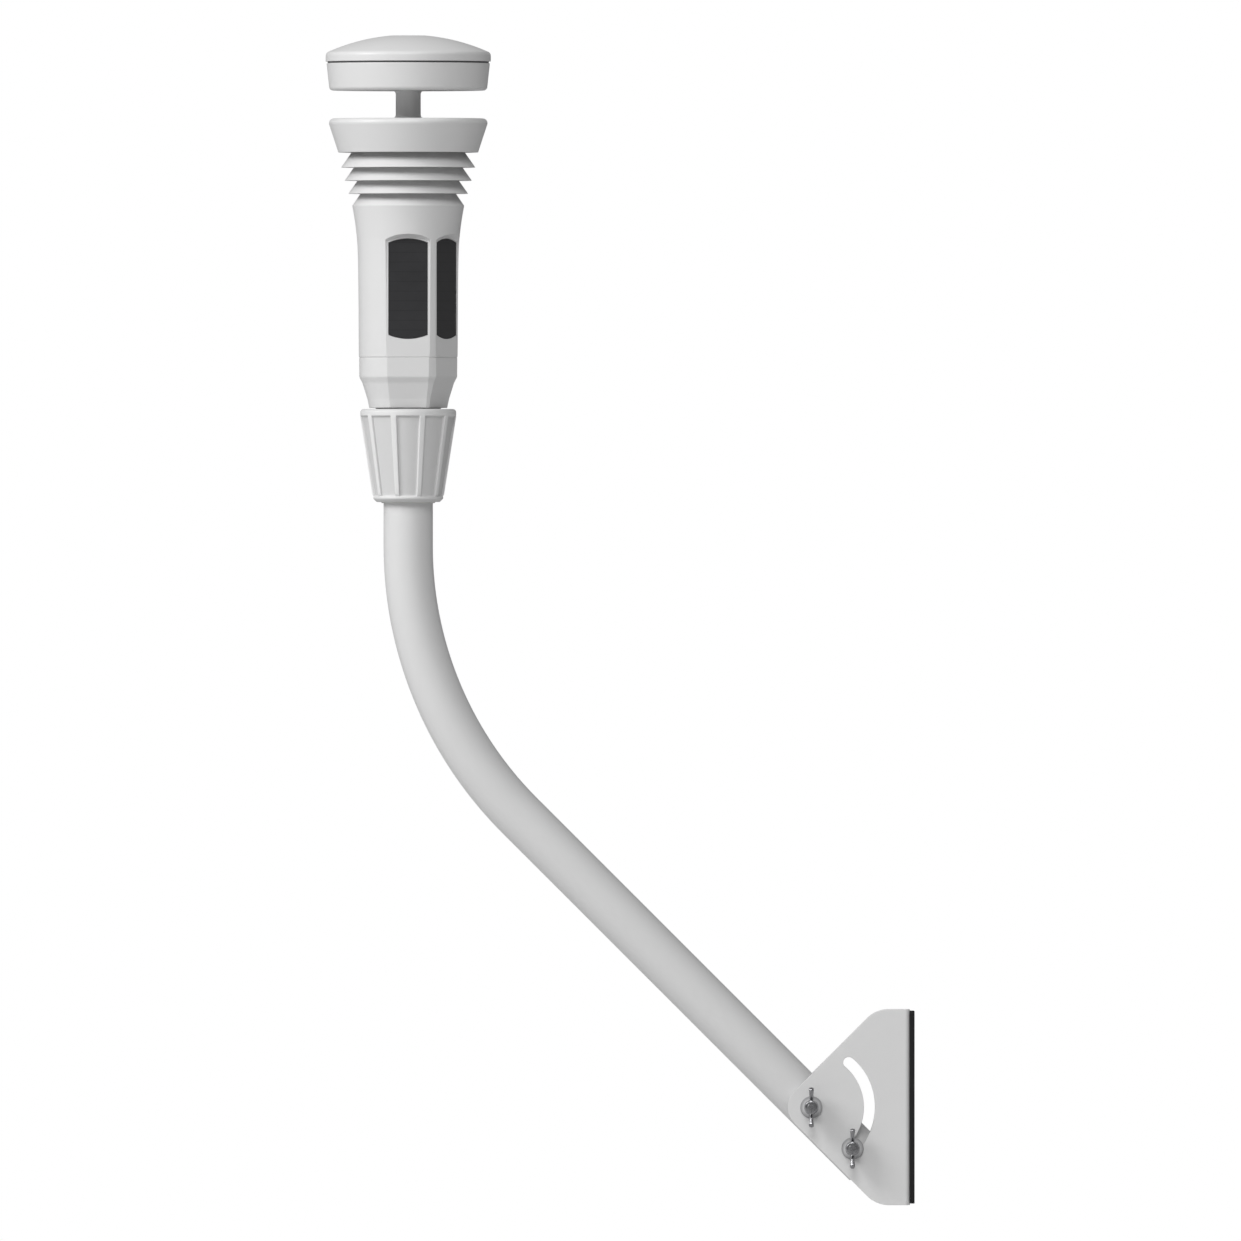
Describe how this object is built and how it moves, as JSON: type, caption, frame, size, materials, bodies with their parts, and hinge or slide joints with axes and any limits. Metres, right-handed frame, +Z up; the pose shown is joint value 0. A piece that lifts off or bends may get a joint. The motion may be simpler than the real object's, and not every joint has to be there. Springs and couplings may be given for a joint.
{
  "type": "compact weather station on a wall arm",
  "caption": "Compact all-in-one weather sensor head on a bent round tube arm, clamped at an adjustable angle in a slotted wall bracket.",
  "frame": {"origin": "centre of the wall face of the rubber pad, level with the arm pivot", "axes": "+X into the wall, +Z up, arm in the XZ plane reaching out along -X"},
  "size_m": [0.3792, 0.1064, 0.753],
  "materials": {
    "pad_rubber": "moulded black rubber",
    "bracket_paint": "light grey powder coat",
    "tube_paint": "light grey powder coat",
    "stainless": "darkened stainless steel",
    "shell_plastic": "light grey moulded plastic, fine matt",
    "collar_plastic": "light grey moulded plastic, matt",
    "neck_plastic": "light grey moulded plastic, satin",
    "pale_nylon": "natural nylon",
    "seal_rubber": "black silicone",
    "solar_cell": "dark solar cell under resin",
    "diffuser_plastic": "milky translucent plastic",
    "board_green": "green circuit board",
    "cell_sleeve": "plain blue shrink sleeve",
    "holder_black": "black moulded plastic",
    "spring_wire": "coiled phosphor bronze wire",
    "cable_black": "black cable jacket",
    "sounder_metal": "aluminium can",
    "piezo_brass": "brass disc with ceramic"
  },
  "bodies": {
    "bracket": {"wall_pad": "pad_rubber", "wall_bracket": "bracket_paint", "pivot_bolt": "stainless"},
    "arm": {"arm_tube": "tube_paint", "slot_bolt": "stainless"},
    "pivot_washer": {"pivot_washer": "stainless"},
    "pivot_nut": {"pivot_wing_nut": "stainless"},
    "slot_washer": {"slot_washer": "stainless"},
    "slot_nut": {"slot_wing_nut": "stainless"},
    "sleeve": {"pole_sleeve": "pale_nylon"},
    "ring": {"compression_ring": "pale_nylon"},
    "collar": {"lock_collar": "collar_plastic"},
    "station": {"base_shell": "shell_plastic", "body_seal": "seal_rubber", "body_shell": "shell_plastic", "solar_panel_1": "solar_cell", "solar_panel_2": "solar_cell", "solar_panel_3": "solar_cell", "solar_panel_4": "solar_cell", "main_board": "board_green", "battery": "cell_sleeve", "battery_holder": "holder_black", "antenna": "spring_wire", "sensor_harness": "cable_black", "climate_board": "board_green", "fin_lower": "shell_plastic", "fin_middle": "shell_plastic", "fin_upper": "shell_plastic", "stack_screws": "stainless", "wind_housing": "shell_plastic", "neck_post": "neck_plastic", "neck_nuts": "neck_plastic", "tray": "shell_plastic", "wind_sounders": "sounder_metal", "sensor_board": "board_green", "cap_gasket": "seal_rubber", "cap": "shell_plastic", "rain_disc": "piezo_brass", "light_diffuser": "diffuser_plastic"}
  },
  "joints": [
    {"name": "arm_tilt", "type": "hinge", "parent": "bracket", "child": "arm", "pos_m": [-0.0665, 0, 0], "axis": [0, -1, 0], "range_deg": [-3, 93]},
    {"name": "pivot_washer_slide", "type": "slide", "parent": "bracket", "child": "pivot_washer", "axis": [0, -1, 0], "range_m": [0, 0.003]},
    {"name": "pivot_nut_turn", "type": "hinge", "parent": "pivot_washer", "child": "pivot_nut", "pos_m": [-0.0665, 0, 0], "axis": [0, -1, 0], "range_deg": [0, 1081]},
    {"name": "slot_washer_slide", "type": "slide", "parent": "arm", "child": "slot_washer", "axis": [0, -1, 0], "range_m": [0, 0.003]},
    {"name": "slot_nut_turn", "type": "hinge", "parent": "slot_washer", "child": "slot_nut", "pos_m": [-0.03998, 0, -0.02652], "axis": [0, -1, 0], "range_deg": [0, 1081]},
    {"name": "station_lift", "type": "slide", "parent": "arm", "child": "sleeve", "axis": [0, 0, 1], "range_m": [0, 0.06]},
    {"name": "station_swivel", "type": "hinge", "parent": "sleeve", "child": "station", "pos_m": [-0.326, 0, 0.45], "axis": [0, 0, 1], "continuous": true},
    {"name": "collar_travel", "type": "slide", "parent": "station", "child": "ring", "axis": [0, 0, -1], "range_m": [0, 0.006]},
    {"name": "collar_turn", "type": "hinge", "parent": "ring", "child": "collar", "pos_m": [-0.326, 0, 0.42], "axis": [0, 0, -1], "range_deg": [0, 721]}
  ],
  "couplings": [
    {"joint": "pivot_nut_turn", "follows": "pivot_washer_slide", "rad_per_m": 6283.2},
    {"joint": "slot_nut_turn", "follows": "slot_washer_slide", "rad_per_m": 6283.2},
    {"joint": "collar_turn", "follows": "collar_travel", "rad_per_m": 2094.4}
  ]
}
